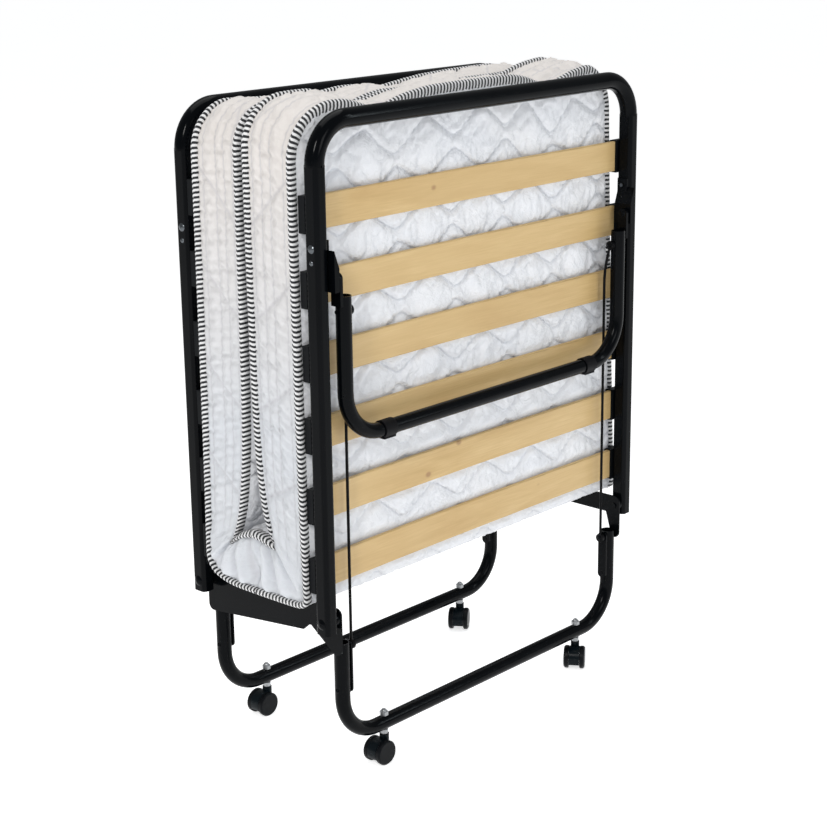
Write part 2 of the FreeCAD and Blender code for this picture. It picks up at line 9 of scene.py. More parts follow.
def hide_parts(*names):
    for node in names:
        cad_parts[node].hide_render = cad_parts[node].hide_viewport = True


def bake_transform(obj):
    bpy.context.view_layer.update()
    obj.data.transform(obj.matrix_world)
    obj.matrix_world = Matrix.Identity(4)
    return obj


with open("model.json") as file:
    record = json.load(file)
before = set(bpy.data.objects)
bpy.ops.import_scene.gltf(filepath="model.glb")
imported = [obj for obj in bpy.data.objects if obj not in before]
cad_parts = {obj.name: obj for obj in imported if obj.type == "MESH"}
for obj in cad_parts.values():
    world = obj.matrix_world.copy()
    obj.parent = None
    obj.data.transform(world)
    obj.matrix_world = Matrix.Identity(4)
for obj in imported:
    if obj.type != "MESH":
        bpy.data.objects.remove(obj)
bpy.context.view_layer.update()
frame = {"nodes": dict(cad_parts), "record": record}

# The mattress is shaped as a flat slab first. Slab coordinates are x across the bed, s along it from
# the middle, and t through it from the slats (0) to the sleeper (1). fold() then bends the slab.
# Lengths are in metres. Seams and folds use the same values in the mesh and in the shaders.
HALF_WIDTH = 0.394
SLAB_LENGTH = 0.885
SLAB_THICK = 0.100
CORNER = 0.070
ROWS, COLUMNS, LAYERS = 176, 150, 22
STITCH_STEP = 0.060
STITCH_SWING = 0.019
STITCH_PERIOD = 0.133
STITCH_PHASE = -0.026
STITCH_START = 0.010
STITCH_POINT = 0.90
THREAD_STEP = 0.0032
STITCH_DRIFT = ((9.0, 21.0, 0.0045), (17.0, -11.0, 0.0030))
BORDER_LINES = (4 / 21, 10 / 21, 14 / 21, 18 / 21)
BORDER_SLANT = 0.16
SLANT_LEAN = 0.12
SLANT_SLOPE = 0.62
FAN_STEP = 0.046
FAN_SWAY = ((1.6, 2.2, 0.7), (0.9, 5.1, 1.2))
TAPE_RADIUS = 0.0051
TAPE_LAP = 2.6
STRIPE = 0.00765
FOLD_AT = 0.125
FOLD_LENGTH = FOLD_AT * SLAB_LENGTH
HEAD_NARROWING = 0.068
CLOTH_FRAMES = 18
FIRST_SLAT, SLAT_STEP = 0.360, 0.114


def smooth(value, low, high):
    t = np.clip((np.asarray(value, float) - low) / (high - low), 0, 1)
    return t * t * (3 - 2 * t)


# Materials

class Shader:
    """A node material with short helpers. self.surface is its Principled shader."""

    def __init__(self, name, colour, roughness, **constants):
        self.material = bpy.data.materials.new(name)
        self.material.use_nodes = True
        self.tree = self.material.node_tree
        self.surface = self.tree.nodes["Principled BSDF"]
        self.surface.inputs["Base Color"].default_value = (*colour, 1)
        self.surface.inputs["Roughness"].default_value = roughness
        for label, number in constants.items():
            self.surface.inputs[label.replace("_", " ")].default_value = number

    def node(self, kind, inputs=None, **settings):
        made = self.tree.nodes.new(kind)
        for label, choice in settings.items():
            setattr(made, label, choice)
        for label, source in (inputs or {}).items():
            self.feed(made.inputs[label], source)
        return made

    def feed(self, socket, source):
        if isinstance(source, bpy.types.NodeSocket):
            self.tree.links.new(source, socket)
        else:
            socket.default_value = source

    def maths(self, operation, first, second=0.0):
        made = self.node("ShaderNodeMath", {0: first, 1: second}, operation=operation)
        return made.outputs[0]

    def sine(self, turn, size):
        return self.maths("MULTIPLY", self.maths("SINE", turn), size)

    def place(self, kind="Object", scale=(1, 1, 1)):
        source = self.node("ShaderNodeTexCoord").outputs[kind]
        mapped = self.node("ShaderNodeMapping", {"Vector": source, "Scale": scale})
        return mapped.outputs["Vector"]

    def noise(self, vector, scale, detail=3.0, roughness=0.5, distortion=0.0):
        made = self.node("ShaderNodeTexNoise", {"Vector": vector, "Scale": scale, "Detail": detail,
                                                "Roughness": roughness, "Distortion": distortion})
        return made.outputs["Fac"]

    def spread(self, fac, low, high, out_low=0.0, out_high=1.0):
        made = self.node("ShaderNodeMapRange", {"Value": fac, "From Min": low, "From Max": high,
                                                "To Min": out_low, "To Max": out_high})
        return made.outputs["Result"]

    def ramp(self, fac, *stops):
        made = self.node("ShaderNodeValToRGB", {"Fac": fac})
        ladder = made.color_ramp.elements
        while len(ladder) < len(stops):
            ladder.new(0.5)
        for element, (position, colour) in zip(ladder, stops):
            element.position = position
            element.color = (*colour, 1)
        return made.outputs["Color"]

    def mix(self, fac, first, second, blend="MIX"):
        made = self.node("ShaderNodeMix", data_type="RGBA", blend_type=blend)
        for socket, source in ((made.inputs[0], fac), (made.inputs[6], first), (made.inputs[7], second)):
            if isinstance(source, tuple) and len(source) == 3:
                source = (*source, 1)
            self.feed(socket, source)
        return made.outputs[2]

    def bump(self, *layers):
        """Layers of (height socket, strength, distance in metres)."""
        normal = None
        for height, strength, distance in layers:
            made = self.node("ShaderNodeBump", {"Height": height, "Strength": strength,
                                                "Distance": distance})
            if normal is not None:
                self.tree.links.new(normal, made.inputs["Normal"])
            normal = made.outputs["Normal"]
        self.tree.links.new(normal, self.surface.inputs["Normal"])

    def colour(self, source):
        self.tree.links.new(source, self.surface.inputs["Base Color"])

    def rough(self, source):
        self.tree.links.new(source, self.surface.inputs["Roughness"])


def gloss_paint():
    """Black powder coat: faint orange peel, dust and small scuffs."""
    s = Shader("gloss_black_paint", (0.003, 0.0035, 0.0045), 0.15, Specular_IOR_Level=0.07)
    where = s.place()
    peel = s.noise(where, 420, 2)
    cloud = s.noise(where, 9, 4)
    scuff = s.noise(where, 60, 6, 0.7)
    paint = s.mix(cloud, (0.0008, 0.0012, 0.0018), (0.002, 0.0028, 0.0038))
    s.colour(s.mix(s.spread(scuff, 0.64, 0.8), paint, (0.008, 0.0085, 0.009)))
    s.rough(s.spread(s.maths("ADD", cloud, s.maths("MULTIPLY", scuff, 0.5)), 0.45, 1.0, 0.09, 0.24))
    s.bump((peel, 0.06, 0.0004), (cloud, 0.15, 0.001))
    return s.material


def satin_paint():
    s = Shader("satin_black_rod", (0.006, 0.006, 0.007), 0.38, Specular_IOR_Level=0.08)
    where = s.place()
    grain = s.noise(where, 300, 3)
    s.colour(s.mix(s.noise(where, 14, 3), (0.002, 0.002, 0.0025), (0.005, 0.005, 0.006)))
    s.rough(s.spread(grain, 0.3, 0.7, 0.3, 0.48))
    s.bump((grain, 0.2, 0.0003))
    return s.material


def moulded_plastic(name, roughness, colour):
    s = Shader(name, colour, roughness, Specular_IOR_Level=0.1)
    where = s.place()
    grain = s.noise(where, 900, 2)
    cloud = s.noise(where, 30, 3)
    lighter = tuple(2.2 * c + 0.002 for c in colour)
    s.colour(s.mix(cloud, colour, lighter))
    s.rough(s.spread(cloud, 0.3, 0.7, roughness - 0.06, roughness + 0.1))
    s.bump((grain, 0.25, 0.0003), (cloud, 0.1, 0.0006))
    return s.material


def zinc(name, dark, light):
    s = Shader(name, light, 0.3, Metallic=1.0)
    where = s.place()
    brushed = s.noise(where, 180, 4)
    cloud = s.noise(where, 70, 3)
    s.colour(s.mix(cloud, dark, light))
    s.rough(s.spread(brushed, 0.3, 0.7, 0.22, 0.42))
    s.bump((brushed, 0.15, 0.0002))
    return s.material


def slat_wood():
    """Lacquered birch ply: long grain, faint growth figure and a few small knots."""
    s = Shader("birch_ply", (0.76, 0.58, 0.33), 0.42, Coat_Weight=0.15, Coat_Roughness=0.35)
    long_way = s.place(scale=(1.1, 9, 9))
    fine_way = s.place(scale=(5, 160, 160))
    figure = s.noise(long_way, 3.2, 5, 0.55, 1.2)
    grain = s.noise(fine_way, 3.0, 4, 0.6)
    patch = s.noise(s.place(), 2.6, 2)
    base = s.ramp(figure, (0.28, (0.52, 0.335, 0.125)), (0.50, (0.60, 0.41, 0.17)),
                  (0.74, (0.67, 0.48, 0.22)))
    base = s.mix(s.spread(grain, 0.35, 0.68, 0.0, 0.45), base, (0.46, 0.29, 0.11))
    base = s.mix(s.spread(patch, 0.35, 0.65, 0.0, 0.5), base, (0.65, 0.47, 0.225))
    spots = s.node("ShaderNodeTexVoronoi", {"Vector": s.place(scale=(1, 1, 1.4)), "Scale": 9.0,
                                            "Randomness": 1.0})
    knot = s.spread(spots.outputs["Distance"], 0.035, 0.075, 1.0, 0.0)
    base = s.mix(s.maths("MULTIPLY", knot, 0.75), base, (0.33, 0.17, 0.07))
    s.colour(base)
    s.rough(s.spread(grain, 0.3, 0.7, 0.34, 0.55))
    s.bump((grain, 0.18, 0.0004), (figure, 0.1, 0.001))
    return s.material


def stitch_gap(s, across, along):
    """Distance in metres to the nearest wavy stitch line, from slab coordinates."""
    drift = [s.sine(s.maths("ADD", s.maths("MULTIPLY", across, a), s.maths("MULTIPLY", along, b)), size)
             for a, b, size in STITCH_DRIFT]
    across, along = s.maths("ADD", across, drift[0]), s.maths("ADD", along, drift[1])
    turn = s.maths("MULTIPLY", s.maths("ADD", across, STITCH_PHASE), 2 * math.pi / STITCH_PERIOD)
    point = s.maths("ARCSINE", s.maths("MULTIPLY", s.maths("COSINE", turn), STITCH_POINT))
    swing = s.maths("MULTIPLY", point, STITCH_SWING / math.asin(STITCH_POINT))
    gaps = []
    for sign, shift in ((-1, 0.0), (1, -STITCH_STEP)):
        offset = s.maths("ADD", s.maths("ADD", along, s.maths("MULTIPLY", swing, sign)),
                         STITCH_START + shift + 20 * STITCH_STEP)
        gaps.append(s.maths("PINGPONG", offset, STITCH_STEP))
    return s.maths("MINIMUM", *gaps)


def fabric_base(name, tint, weave_scale):
    s = Shader(name, tint, 0.72, Sheen_Weight=0.12, Sheen_Roughness=0.5)
    uv = s.place("UV")
    split = s.node("ShaderNodeSeparateXYZ", {"Vector": uv})
    warp = s.maths("SINE", s.maths("MULTIPLY", split.outputs["X"], weave_scale))
    weft = s.maths("SINE", s.maths("MULTIPLY", split.outputs["Y"], weave_scale))
    weave = s.maths("MULTIPLY", warp, weft)
    slub = s.noise(uv, 130, 4, 0.6)
    crease = s.noise(uv, 34, 5, 0.62, 1.4)
    cloud = s.noise(uv, 7, 3)
    cool = tuple(c * k for c, k in zip(tint, (0.955, 0.97, 1.0)))
    warm = tuple(c * k for c, k in zip(tint, (1.0, 0.99, 0.975)))
    colour = s.mix(cloud, cool, warm)
    colour = s.mix(s.spread(slub, 0.3, 0.7, 0.0, 0.16), colour, tuple(c * 0.86 for c in tint))
    return s, split, weave, slub, crease, colour


def panel_fabric():
    """Quilted white ticking with a thread dent along each stitch line, and painted shade darkening the
    cloth in a band beside each stitch line.
    """
    s, split, weave, slub, crease, colour = fabric_base("quilted_ticking", (0.81, 0.82, 0.845), 2600)
    gap = stitch_gap(s, split.outputs["X"], split.outputs["Y"])
    along = s.maths("ADD", split.outputs["X"], split.outputs["Y"])
    along = s.maths("MULTIPLY", along, 2 * math.pi / THREAD_STEP)
    dash = s.spread(s.maths("SINE", along), -0.5, 0.3)
    dip_and_painted_shade = s.spread(gap, 0.0006, 0.0032, 1.0, 0.0)
    thread = s.maths("MULTIPLY", s.spread(gap, 0.0004, 0.0009, 1.0, 0.0), dash)
    # Painted shade: the cloth is darkened towards blue-grey within about 3 mm of each stitch line, as shade
    # in the seam's valley.
    s.colour(s.mix(s.maths("MULTIPLY", dip_and_painted_shade, 0.22), colour, (0.50, 0.53, 0.60)))
    s.rough(s.spread(slub, 0.3, 0.7, 0.62, 0.82))
    s.bump((crease, 0.75, 0.0050), (weave, 0.12, 0.0003), (slub, 0.3, 0.0008),
           (s.maths("SUBTRACT", thread, dip_and_painted_shade), 0.6, 0.0012))
    return s.material


def border_fabric():
    """The border's cloth: channels along it, long slanting creases and the folds of crumple(), each dented
    and darkened with painted shade.
    """
    s, split, weave, slub, crease, colour = fabric_base("border_ticking", (0.69, 0.71, 0.74), 2600)
    along, through = split.outputs["X"], split.outputs["Y"]
    slant = s.maths("ADD", along, s.maths("MULTIPLY", through, SLANT_LEAN / SLAB_THICK))
    gap = s.maths("MULTIPLY", s.maths("PINGPONG", slant, BORDER_SLANT / 2), SLANT_SLOPE)
    dip_and_painted_shade = s.spread(gap, 0.0005, 0.0035, 0.9, 0.0)
    for line in BORDER_LINES:
        gap = s.maths("ABSOLUTE", s.maths("SUBTRACT", through, line * SLAB_THICK))
        dip_and_painted_shade = s.maths("MAXIMUM", dip_and_painted_shade, s.spread(gap, 0.0005, 0.0025, 1.0, 0.0))
    dip_and_painted_shade = s.maths("MULTIPLY", dip_and_painted_shade, s.spread(along, 0.13, 0.22))
    gap = s.maths("ABSOLUTE", s.maths("SUBTRACT", along, FOLD_LENGTH))
    dip_and_painted_shade = s.maths("MAXIMUM", dip_and_painted_shade, s.spread(gap, 0.0006, 0.0035, 0.9, 0.0))
    turn = s.maths("MULTIPLY", along, 2 * math.pi / FAN_STEP)
    for size, steepness, shift in FAN_SWAY:
        lean = s.maths("ADD", s.maths("MULTIPLY", through, steepness / SLAB_THICK), shift)
        turn = s.maths("ADD", turn, s.sine(lean, size))
    # Painted shade in the valleys of the fan folds near the arch.
    valley = s.spread(s.maths("COSINE", turn), -1.0, -0.1, 1.0, 0.0)
    valley = s.maths("MULTIPLY", valley, s.spread(along, 0.06, 0.15, 0.8, 0.0))
    dip_and_painted_shade = s.maths("MAXIMUM", dip_and_painted_shade, s.maths("MULTIPLY", valley, s.spread(through, 0.004, 0.03)))
    pleat = s.noise(s.place("UV", (5, 90, 1)), 1.0, 4, 0.6, 0.5)
    colour = s.mix(s.spread(along, 0.35, 0.85), colour, (0.74, 0.70, 0.67))
    # Painted shade: the channels, slanting creases, fold line and fan valleys are darkened towards grey.
    s.colour(s.mix(s.maths("MULTIPLY", dip_and_painted_shade, 0.45), colour, (0.50, 0.49, 0.52)))
    s.rough(s.spread(slub, 0.3, 0.7, 0.62, 0.82))
    s.bump((pleat, 0.35, 0.0060), (crease, 0.5, 0.0045), (weave, 0.12, 0.0003), (slub, 0.3, 0.0008),
           (dip_and_painted_shade, -0.6, 0.0014))
    return s.material


def striped_tape():
    """Black and white edge tape. U runs along it in metres and V round it."""
    s = Shader("striped_edge_tape", (0.8, 0.8, 0.8), 0.7, Sheen_Weight=0.1)
    uv = s.place("UV")
    split = s.node("ShaderNodeSeparateXYZ", {"Vector": uv})
    wobble = s.maths("MULTIPLY", s.noise(uv, 60, 2), 0.0016)
    lean = s.maths("MULTIPLY", split.outputs["Y"], 0.0012)
    along = s.maths("ADD", s.maths("ADD", split.outputs["X"], wobble), lean)
    wave = s.maths("SINE", s.maths("MULTIPLY", along, 2 * math.pi / STRIPE))
    black = s.spread(wave, -0.16, 0.10)
    ribs = s.maths("SINE", s.maths("MULTIPLY", along, 2 * math.pi / (STRIPE / 5)))
    white = s.mix(s.noise(uv, 300, 2), (0.74, 0.74, 0.75), (0.88, 0.88, 0.88))
    s.colour(s.mix(black, white, (0.010, 0.011, 0.014)))
    s.bump((wave, 0.3, 0.0006), (ribs, 0.4, 0.0004))
    return s.material


def pale_floor():
    s = Shader("pale_floor", (0.9, 0.9, 0.9), 0.9, Specular_IOR_Level=0.0, Emission_Strength=0.68)
    s.surface.inputs["Emission Color"].default_value = (1, 1, 1, 1)
    s.colour(s.mix(s.noise(s.place(), 3, 3), (0.88, 0.88, 0.88), (0.92, 0.92, 0.92)))
    return s.material


MATERIALS = {
    "frame_paint": gloss_paint(),
    "rod_paint": satin_paint(),
    "slat_wood": slat_wood(),
    "cap_plastic": moulded_plastic("moulded_cap", 0.45, (0.002, 0.0026, 0.0034)),
    "foot_plastic": moulded_plastic("moulded_foot", 0.5, (0.002, 0.002, 0.0026)),
    "zinc_steel": zinc("bright_zinc", (0.22, 0.23, 0.24), (0.42, 0.43, 0.44)),
    "caster_plastic": moulded_plastic("caster_body", 0.25, (0.0015, 0.0035, 0.005)),
    "wheel_plastic": moulded_plastic("caster_wheel", 0.3, (0.0015, 0.002, 0.0028)),
}
DULL_BOLT = zinc("dull_zinc", (0.07, 0.08, 0.09), (0.15, 0.16, 0.17))
PANEL, BORDER, TAPE = panel_fabric(), border_fabric(), striped_tape()


def dress_cad():
    """Give each CAD node the material of its slot."""
    slots = {part["node"]: part["material_slot"] for part in frame["record"]["subparts"]}
    for name, thing in frame["nodes"].items():
        material = DULL_BOLT if name.startswith("frame_bolts") else MATERIALS.get(slots[name])
        if material is None:
            continue
        for index in range(max(len(thing.material_slots), 1)):
            if index < len(thing.material_slots):
                thing.material_slots[index].material = material
            else:
                thing.data.materials.append(material)


# Meshes

def mesh_object(name, points, faces, materials, uvs=None, face_materials=None):
    mesh = bpy.data.meshes.new(name)
    mesh.from_pydata([tuple(p) for p in points], [], [tuple(f) for f in faces])
    for material in materials:
        mesh.materials.append(material)
    if face_materials is not None:
        mesh.polygons.foreach_set("material_index", np.asarray(face_materials, np.int32))
    if uvs is not None:
        layer = mesh.uv_layers.new(name="UVMap")
        layer.data.foreach_set("uv", np.asarray(uvs, np.float32).ravel())
    mesh.polygons.foreach_set("use_smooth", np.ones(len(mesh.polygons), bool))
    mesh.update()
    thing = bpy.data.objects.new(name, mesh)
    bpy.context.scene.collection.objects.link(thing)
    return thing


# The mattress slab

def edge_x(s):
    """Half width of the slab at s: full, then round the head corners."""
    over = np.clip(np.asarray(s, float) - (SLAB_LENGTH - CORNER), 0, CORNER)
    return HALF_WIDTH - CORNER + np.sqrt(CORNER ** 2 - over ** 2)


def row_places():
    """Where the rows lie along the slab, closer together round the head corners."""
    straight = np.linspace(0, SLAB_LENGTH - CORNER, ROWS - 17)
    turn = SLAB_LENGTH - CORNER + CORNER * np.sin(np.linspace(0, math.pi / 2, 18)[1:])
    return np.concatenate([straight, turn])


def stitch_distance(x, s):
    drift = [size * np.sin(a * x + b * s) for a, b, size in STITCH_DRIFT]
    x, s = x + drift[0], s + drift[1]
    point = np.arcsin(STITCH_POINT * np.cos((x + STITCH_PHASE) * 2 * math.pi / STITCH_PERIOD))
    swing = STITCH_SWING * point / math.asin(STITCH_POINT)
    s = s + STITCH_START

    def gap(v):
        phase = (v / (2 * STITCH_STEP)) % 1
        return np.minimum(phase, 1 - phase) * 2 * STITCH_STEP
    return np.minimum(gap(s - swing), gap(s + swing - STITCH_STEP))


def border_distance(run, t):
    """Distance to the nearest channel or slanting line on the border, in metres."""
    lines = [np.abs(t - line) * SLAB_THICK for line in BORDER_LINES]
    slant = ((run + t * SLANT_LEAN) / BORDER_SLANT) % 1
    lines.append(np.minimum(slant, 1 - slant) * BORDER_SLANT * SLANT_SLOPE)
    return np.min(lines, axis=0)


def slab():
    """Points, quads and kinds of the closed slab surface, in slab coordinates."""
    s_rows = row_places()
    a_columns = np.linspace(-1, 1, COLUMNS)
    t_layers = np.linspace(0, 1, LAYERS)
    number, points = {}, []

    def vertex(i, j, k):
        key = (i, j, k)
        if key not in number:
            number[key] = len(points)
            points.append((a_columns[j] * float(edge_x(s_rows[i])), s_rows[i], t_layers[k]))
        return number[key]

    last_i, last_j, last_k = ROWS - 1, COLUMNS - 1, LAYERS - 1
    quads, kinds = [], []

    def quad(kind, *corners):
        quads.append([vertex(*corner) for corner in corners])
        kinds.append(kind)

    for i in range(last_i):
        for j in range(last_j):
            quad("panel", (i, j, 0), (i + 1, j, 0), (i + 1, j + 1, 0), (i, j + 1, 0))
            quad("panel", (i, j, last_k), (i, j + 1, last_k), (i + 1, j + 1, last_k), (i + 1, j, last_k))
    for k in range(last_k):
        for i in range(last_i):
            quad("side", (i, 0, k), (i, 0, k + 1), (i + 1, 0, k + 1), (i + 1, 0, k))
            quad("side", (i, last_j, k), (i + 1, last_j, k), (i + 1, last_j, k + 1), (i, last_j, k + 1))
        for j in range(last_j):
            quad("end", (last_i, j, k), (last_i, j, k + 1), (last_i, j + 1, k + 1), (last_i, j + 1, k))
            quad("middle", (0, j, k), (0, j + 1, k), (0, j + 1, k + 1), (0, j, k + 1))
    return np.array(points), quads, kinds


def slab_seams(points):
    """How firmly each point is held by stitching: 1 on a seam or an edge, 0 in the middle of a puff."""
    x, s, t = points.T
    edge = edge_x(s)
    on_panel = (t < 1e-6) | (t > 1 - 1e-6)
    on_side = (np.abs(x) > edge - 1e-6) | (s > SLAB_LENGTH - 1e-6)
    held = np.where(on_panel, 1 - smooth(stitch_distance(x, s), 0.001, 0.008), 0)
    run = np.where(s > SLAB_LENGTH - 1e-6, s + x, s)
    channel = 0.75 * (1 - smooth(border_distance(run, t), 0.001, 0.008)) * smooth(run, 0.12, 0.22)
    channel = np.maximum(channel, 1 - smooth(np.minimum(t, 1 - t) * SLAB_THICK, 0.005, 0.015))
    held = np.where(on_side & ~on_panel, channel, held)
    rim = np.minimum(edge - np.abs(x), SLAB_LENGTH - s)
    held = np.where(on_panel, np.maximum(held, 1 - smooth(rim, 0.004, 0.016)), held)
    held = np.where(on_side & on_panel, 1, held)
    hem = 1 - smooth(np.abs(s - FOLD_LENGTH), 0.006, 0.020)
    held = np.where(t < 1e-6, np.maximum(held, np.where(s < FOLD_LENGTH, 0.9, 0.9 * hem)), held)
    return np.where(s < 0.004, 1, held)


def crumple(points):
    """Folds that fan out over the border from the arch to the bottom, in metres outward."""
    x, s, t = points.T
    sway = sum(size * np.sin(steepness * t + shift) for size, steepness, shift in FAN_SWAY)
    fan = np.cos(2 * math.pi * s / FAN_STEP + sway) + 0.35 * np.cos(2 * math.pi * s / 0.026 + 2 * sway)
    reach = (1 - smooth(s, 0.05, 0.19)) * smooth(t, 0.03, 0.3) * (1 - smooth(t, 0.86, 1.0))
    wave = 0.5 * np.sin(2 * math.pi * s / 0.21 + 3 * t + 2 * x) * smooth(s, 0.15, 0.3)
    on_side = np.abs(x) > edge_x(s) - 1e-6
    fold_line = np.exp(-((s - FOLD_LENGTH) / 0.005) ** 2) * smooth(t, 0.02, 0.2)
    bulge = 0.0085 * fan * reach + 0.0020 * wave * np.sin(math.pi * t) - 0.009 * fold_line
    return np.where(on_side, np.sign(x) * bulge, 0)


def puffed_slab(points, quads):
    """The slab after the stitched cloth is blown up and wrinkled by simulation."""
    held = slab_seams(points)
    x, s, t = points.T
    flat = np.column_stack([x, s, t * SLAB_THICK])
    thing = mesh_object("slab_cloth", flat, quads, [])
    mesh = thing.data
    outward = np.empty(len(mesh.vertices) * 3, np.float32)
    mesh.vertices.foreach_get("normal", outward)
    outward = outward.reshape(-1, 3)
    on_panel = (t < 1e-6) | (t > 1 - 1e-6)
    lift = np.where(on_panel, 0.0052, 0.0045) * (1 - held)
    wrinkle = np.sin(430 * x + 3 * np.sin(90 * s)) + np.sin(390 * s + 3 * np.sin(110 * x))
    start = flat + outward * (lift + 0.0007 * wrinkle * (1 - held))[:, None]
    mesh.vertices.foreach_set("co", start.astype(np.float32).ravel())
    group = thing.vertex_groups.new(name="held")
    for index, weight in enumerate(held):
        if weight > 0.001:
            group.add([index], float(weight), "REPLACE")
    cloth = thing.modifiers.new("Cloth", "CLOTH")
    settings = cloth.settings
    settings.quality = 4
    settings.mass = 0.25
    settings.tension_stiffness = settings.compression_stiffness = 12
    settings.shear_stiffness = 4
    settings.bending_stiffness = 0.006
    settings.use_pressure = True
    settings.uniform_pressure_force = 4.0
    settings.shrink_min = -0.07
    settings.vertex_group_mass = "held"
    settings.pin_stiffness = 2.0
    settings.effector_weights.gravity = 0
    cloth.collision_settings.use_collision = False
    cloth.collision_settings.use_self_collision = False
    cloth.point_cache.frame_end = CLOTH_FRAMES
    scene = bpy.context.scene
    for step in range(1, CLOTH_FRAMES + 1):
        scene.frame_set(step)
    solved = thing.evaluated_get(bpy.context.evaluated_depsgraph_get()).to_mesh()
    moved = np.empty(len(solved.vertices) * 3, np.float32)
    solved.vertices.foreach_get("co", moved)
    moved = moved.reshape(-1, 3).astype(float)
    thing.to_mesh_clear()
    bpy.data.objects.remove(thing)
    scene.frame_set(1)
    travel = moved - flat
    reach = np.linalg.norm(travel, axis=1)
    cap = np.where(on_panel, 0.010, 0.009)
    travel *= np.minimum(1, cap / np.maximum(reach, 1e-9))[:, None]
    return flat + travel


# Folding the slab

OUTER = {
    -1: [(0.0, 0.3020), (-0.060, 0.3020), (-0.1150, 0.3035), (-0.1150, 0.330), (-0.1120, 0.50),
         (-0.1095, 0.80), (-0.1085, 1.072)],
    1: [(0.0, 0.3020), (-0.070, 0.3020), (-0.1160, 0.3220), (-0.1150, 0.375), (-0.1120, 0.50),
        (-0.1095, 0.80), (-0.1085, 1.072)],
}
INNER = {
    -1: [(0.0, 0.4060), (-0.028, 0.4020), (-0.0560, 0.3890), (-0.0370, 0.413), (-0.0230, 0.450),
         (-0.0105, 0.560), (-0.0080, 0.80), (-0.0080, 1.072)],
    1: [(0.0, 0.4060), (-0.028, 0.3980), (-0.0600, 0.3700), (-0.0400, 0.392), (-0.0230, 0.450),
        (-0.0105, 0.560), (-0.0080, 0.80), (-0.0080, 1.072)],
}


def rounded_path(stops, corner):
    """Dense points along the stops, each stop rounded off, with the share of length at its corner stop."""
    line = np.array(stops)
    for _ in range(3):
        quarter = line[:-1] * 0.75 + line[1:] * 0.25
        three = line[:-1] * 0.25 + line[1:] * 0.75
        middle = np.empty((2 * len(quarter), 2))
        middle[0::2], middle[1::2] = quarter, three
        line = np.vstack([line[0], middle[1:-1], line[-1]])
    length = np.concatenate([[0], np.cumsum(np.linalg.norm(np.diff(line, axis=0), axis=1))])
    nearest = int(np.argmin(np.linalg.norm(line - np.array(stops[corner]), axis=1)))
    share = np.where(length <= length[nearest], FOLD_AT * length / length[nearest],
                     FOLD_AT + (1 - FOLD_AT) * (length - length[nearest]) / (length[-1] - length[nearest]))
    return line, share


OUTER_PATHS = {side: rounded_path(stops, 2) for side, stops in OUTER.items()}
INNER_PATHS = {side: rounded_path(stops, 2) for side, stops in INNER.items()}

# Height of the head end above level across the bed: (x, on the slats' side, on the sleeping side).
HEAD_RISE = {
    -1: [(-0.394, 0.000, 0.012), (-0.345, 0.003, 0.014), (-0.313, 0.009, 0.016), (-0.281, 0.008, 0.016),
         (-0.254, 0.001, 0.015), (-0.212, -0.013, -0.006), (-0.170, 0.000, -0.014), (-0.140, 0.006, -0.010),
         (-0.091, 0.012, 0.000), (-0.030, 0.013, 0.000), (0.080, 0.013, -0.004), (0.113, 0.012, -0.006),
         (0.147, 0.006, -0.006), (0.175, -0.004, -0.003), (0.205, -0.012, 0.004), (0.246, -0.002, 0.015),
         (0.270, 0.005, 0.018), (0.300, 0.010, 0.021), (0.321, 0.014, 0.021), (0.360, 0.014, 0.020),
         (0.394, 0.012, 0.016)],
    1: [(-0.394, 0.000, 0.004), (-0.340, 0.000, 0.003), (-0.300, -0.003, 0.002),
        (-0.250, -0.005, -0.006), (-0.210, -0.008, -0.012), (-0.160, -0.012, -0.020),
        (-0.120, -0.007, -0.008), (-0.080, -0.003, -0.002), (-0.038, -0.004, -0.004),
        (0.010, -0.012, -0.020), (0.060, -0.006, -0.008), (0.120, 0.000, 0.000),
        (0.200, 0.003, 0.000), (0.300, 0.004, 0.002), (0.394, 0.000, 0.000)],
}


def head_rise(x, t, side):
    """How far the head end of one half rises above or sinks below level across the bed."""
    across, slat_side, sleep_side = np.array(HEAD_RISE[side]).T
    spots = np.linspace(-0.42, 0.42, 400)
    kernel = np.hanning(23) / np.hanning(23).sum()
    levels = [np.convolve(np.pad(np.interp(spots, across, level), 11, mode="edge"), kernel, mode="valid")
              for level in (slat_side, sleep_side)]
    low, high = (np.interp(x, spots, level) for level in levels)
    share = smooth(t, 0.0, 1.0)
    return low + (high - low) * share + 0.006 * np.sin(math.pi * np.clip(t, 0, 1))


def fold(points, side):
    """Bend slab coordinates (x, s, height through the slab in metres) round the hinge on one side."""
    x, s, through = np.asarray(points, float).T
    share = s / SLAB_LENGTH
    x = np.where(x > 0, x * (1 - HEAD_NARROWING * np.clip((share - FOLD_AT) / (1 - FOLD_AT), 0, 1)), x)
    beyond = np.maximum(share - 1, 0)
    share = np.clip(share, 0, 1)
    t = through / SLAB_THICK
    (outer_line, outer_share), (inner_line, inner_share) = OUTER_PATHS[side], INNER_PATHS[side]
    outer = np.column_stack([np.interp(share, outer_share, outer_line[:, i]) for i in (0, 1)])
    inner = np.column_stack([np.interp(share, inner_share, inner_line[:, i]) for i in (0, 1)])
    place = outer + (inner - outer) * t[:, None]
    y, z = place.T
    z = z + beyond * SLAB_LENGTH
    z = z + head_rise(x, t, side) * smooth(s, 0.62 * SLAB_LENGTH, SLAB_LENGTH)
    return np.column_stack([x, -side * y, z])


def behind_slats(folded):
    """Keep the puffs on the slats' side off each slat, and let them swell a little between slats."""
    x, y, z = folded.T
    gap = np.min([np.abs(z - (FIRST_SLAT + SLAT_STEP * k)) for k in range(6)], axis=0)
    limit = 0.1165 + 0.0065 * smooth(gap, 0.029, 0.045)
    return np.column_stack([x, np.clip(y, -limit, limit), z])


